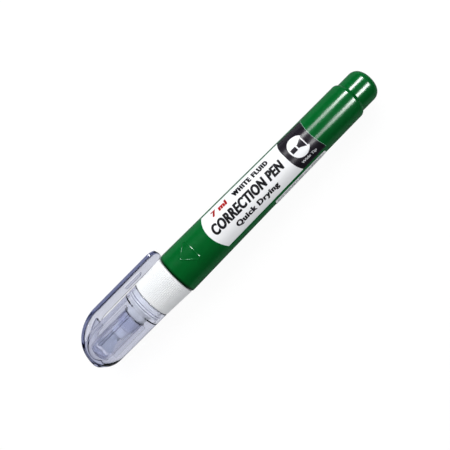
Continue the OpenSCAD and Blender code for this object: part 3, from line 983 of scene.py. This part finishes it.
def build_strap():
    path = strap_path()
    rings = []
    for i, (station, radius) in enumerate(path):
        a, b = path[max(i - 1, 0)], path[min(i + 1, len(path) - 1)]
        along = Vector((b[0] - a[0], b[1] - a[1])).normalized()
        nx, ny = -along.y, along.x
        # the normal points away from the pen
        if (radius > 0 and ny < 0) or (radius <= 0 and nx > 0):
            nx, ny = -nx, -ny
        end = min(1.0, (CLIP_END - station) / CLIP_TAPER)
        half_thick = CLIP_THICK / 2 * (0.45 + 0.55 * math.sqrt(1 - (1 - end) ** 2))
        s, r = station - nx * CLIP_THICK / 2, radius - ny * CLIP_THICK / 2
        section = strap_section(strap_half_width(station, radius), half_thick)
        rings.append([clip_point(s + nx * y, r + ny * y, x) for x, y in section])
    return skin("strap", rings)


def prism(side_outline, half):
    """side outline (station, radius) in the clip's plane, extruded across it"""
    count = len(side_outline)
    verts = [clip_point(s, r, across) for across in (-half, half) for s, r in side_outline]
    faces = [tuple(range(count)), tuple(reversed(range(count, 2 * count)))]
    for k in range(count):
        j = (k + 1) % count
        faces.append((k, j, j + count, k + count))
    return mesh_from("prism", verts, faces)


def dome_profile(start, steps, nose, radius, length):
    """(radius, station) on a dome, from step start to its side"""
    points = []
    for k in range(start, steps + 1):
        r, depth = superellipse(PI / 2 * k / steps, radius, length, DOME_POWER)
        points.append((r, nose + depth))
    return points


def build_cap():
    profile = [(0, NOSE)] + dome_profile(1, 32, NOSE, DOME_R, DOME_LENGTH)
    profile += dense([(6.91, 8.6), (7.08, 27.8)], 1.6)
    profile += fillet([(7.085, 28.0, 0), (7.09, 28.85, 0.2), (5.0, 28.85, 0)], 5)
    profile.append((0, 28.85))
    outer = revolve("cap_outer", profile, 144)

    # web between dome and clip, and the ridge under the clip: (station, radius)
    web = prism([(3.6, 4.4)] + [clip_curve(k, 24, lift=0.6) for k in range(7, 21)]
                + [(11.0, 9.3), (10.8, 8.3), (11.0, 6.7), (9.0, 6.5)], 0.8)
    ridge = prism([(24.4, 9.9), (24.75, 8.95), (25.1, 8.75), (31.2, 8.75), (32.1, 9.2),
                   (32.6, 9.9)], 0.3)

    hollow = [(0, 2.65), (1.0, 2.67)] + dome_profile(3, 20, 2.65, 6.0, 6.05)
    hollow += dense([(6.01, 9.2), (6.12, 24.0)], 1.6)
    hollow += [(6.36, 24.5), (6.36, 28.5), (6.6, 28.95), (0, 28.95)]
    # hard corners keep the bore's shading straight, which matters in a clear wall
    inner = revolve("cap_hollow", hollow, 144)

    mesh = boolean(outer, [build_strap(), web, ridge], "UNION")
    mesh = boolean(mesh, [inner], "DIFFERENCE")
    mesh.name = "cap_shell_clear"
    return smooth(outward(mesh), 18)


def build_land():
    """the deeper tint where the sleeve's mouth grips the nozzle's sealing land"""
    profile = fillet([(3.32, 17.0, 0), (3.74, 17.0, 0.18), (3.74, 20.5, 0.1), (3.32, 20.5, 0)], 5)
    return smooth(revolve("sleeve_land", profile, 96, closed=True), 40)


piece("cap_shell_clear", build_cap(), CLEAR, "cap", "cap_clear", "cap_shell")
piece("sleeve_land", build_land(), LAND, "cap_liner", "sleeve_clear")


# ------------------------------------------------------------------ floor (metres from here on)
def floor_material():
    m = Material("floor_pale")
    grain = m.noise(scale=900.0)
    pale = m.mix(m.ramp(grain, span=(0.3, 0.7)), (0.90, 0.90, 0.90), (0.93, 0.93, 0.93))
    rays = m.add("ShaderNodeLightPath").outputs
    # reflections see a greyer table, as they would in a small tent with dark surroundings
    mirror = m.mirror_rays(rays)
    seen = m.math("MAXIMUM", rays["Is Camera Ray"], rays["Is Transmission Ray"])
    colour = m.mix(seen, m.mix(mirror, (0.72, 0.72, 0.72), (0.24, 0.25, 0.25)),
                   m.mix(0.9, pale, (0.0, 0.0, 0.0)))
    # seen directly, the table is a lit white sweep that keeps only a trace of shadow
    m.finish("Surface", m.principled(
        Base_Color=colour, Roughness=0.85, Normal=m.bump(grain, distance=2e-6),
        Specular_IOR_Level=0.1, Emission_Color=(1, 1, 1),
        Emission_Strength=m.math("MULTIPLY", seen, 0.92)))
    return m.block


def build_floor():
    bm = bmesh.new()
    bmesh.ops.create_grid(bm, x_segments=8, y_segments=8, size=1.6)
    mesh = bpy.data.meshes.new("floor")
    bm.to_mesh(mesh)
    bm.free()
    floor = new_object("floor", mesh)
    floor.location = (CAD_LO.x / 2, 0, FLOOR_Z)
    paint(floor, floor_material())


build_floor()

# ------------------------------------------------------------------ world and lights
ROOM_STRENGTH = 0.62                    # for most rays
ROOM_MIRROR_STRENGTH = 0.035            # for reflections
ROOM_CAMERA_EXTRA = 0.31                # makes the room look as pale as the floor


def build_world():
    world = bpy.data.worlds.new("studio")
    bpy.context.scene.world = world
    room = Tree(world, "ShaderNodeOutputWorld")
    rays = room.add("ShaderNodeLightPath").outputs
    strength = room.ramp(room.mirror_rays(rays), span=(0.0, 1.0),
                         to=(ROOM_STRENGTH, ROOM_MIRROR_STRENGTH))
    strength = room.math("MULTIPLY_ADD", rays["Is Camera Ray"], ROOM_CAMERA_EXTRA, strength)
    inputs = {"Color": (0.985, 0.99, 1.0), "Strength": strength}
    room.finish("Surface", room.add("ShaderNodeBackground", inputs).outputs[0])


def softbox(name, centre, target, size, power):
    """rectangular light aimed at the target, its long side as near to X as it can be"""
    light = bpy.data.lights.new(name, "AREA")
    light.shape = "RECTANGLE"
    light.size, light.size_y = size
    light.energy = power
    obj = new_object(name, light)
    c = Vector(centre)
    z = (c - Vector(target)).normalized()
    x = Vector((1, 0, 0))
    x = (x - z * x.dot(z)).normalized()
    y = z.cross(x)
    obj.matrix_world = Matrix(((x.x, y.x, z.x, c.x), (x.y, y.y, z.y, c.y),
                               (x.z, y.z, z.z, c.z), (0, 0, 0, 1)))
    obj.visible_camera = False
    obj.visible_transmission = False
    return obj


STRIP_TARGET = (-0.02, 0, 0)
# name, centre, (length, width), power
STRIPS = [
    ("strip_left", (0.205, 0.324, 0.373), (0.24, 0.15), 0.75),
    ("strip_left_tail", (0.26, 0.33, 0.38), (0.20, 0.12), 1.9),
    ("strip_right", (0.2, -0.165, 0.465), (0.22, 0.15), 0.45),
    ("strip_right_tail", (0.26, -0.165, 0.475), (0.20, 0.14), 2.4),
]

build_world()
# strips that only show as streaks on glossy surfaces
for strip_name, strip_centre, strip_size, strip_power in STRIPS:
    strip = softbox(strip_name, strip_centre, STRIP_TARGET, strip_size, strip_power)
    strip.visible_diffuse = False
# one broad light on the clip's side, which leaves no reflection
key = softbox("key", centre=(-0.05, 0.42, 0.42), target=(-0.065, 0, 0), size=(0.5, 0.4),
              power=2.75)
key.visible_glossy = False

# ------------------------------------------------------------------ camera
# (input, output) of the tone curve, which makes the darkest tones a little deeper
TONE_CURVE = [(0.02, 0.0086), (0.05, 0.031), (0.1, 0.082), (0.165, 0.16), (0.3, 0.3)]


def build_camera():
    """looks straight down from above the middle of the pen, turned about the vertical"""
    data = bpy.data.cameras.new("photo_camera")
    data.sensor_width = 36.0
    data.lens = 41.6
    data.clip_start, data.clip_end = 0.005, 20
    camera = new_object("photo_camera", data)
    camera.location = (station_x(63.5), 0, 0.172)
    camera.rotation_euler = (0, 0, math.radians(-45.35))
    bpy.context.scene.camera = camera


def set_view():
    view = bpy.context.scene.view_settings
    view.view_transform = "Standard"
    view.use_curve_mapping = True
    combined = view.curve_mapping.curves[3]
    for tone, output in TONE_CURVE:
        combined.points.new(tone, output)
    view.curve_mapping.update()


build_camera()
set_view()
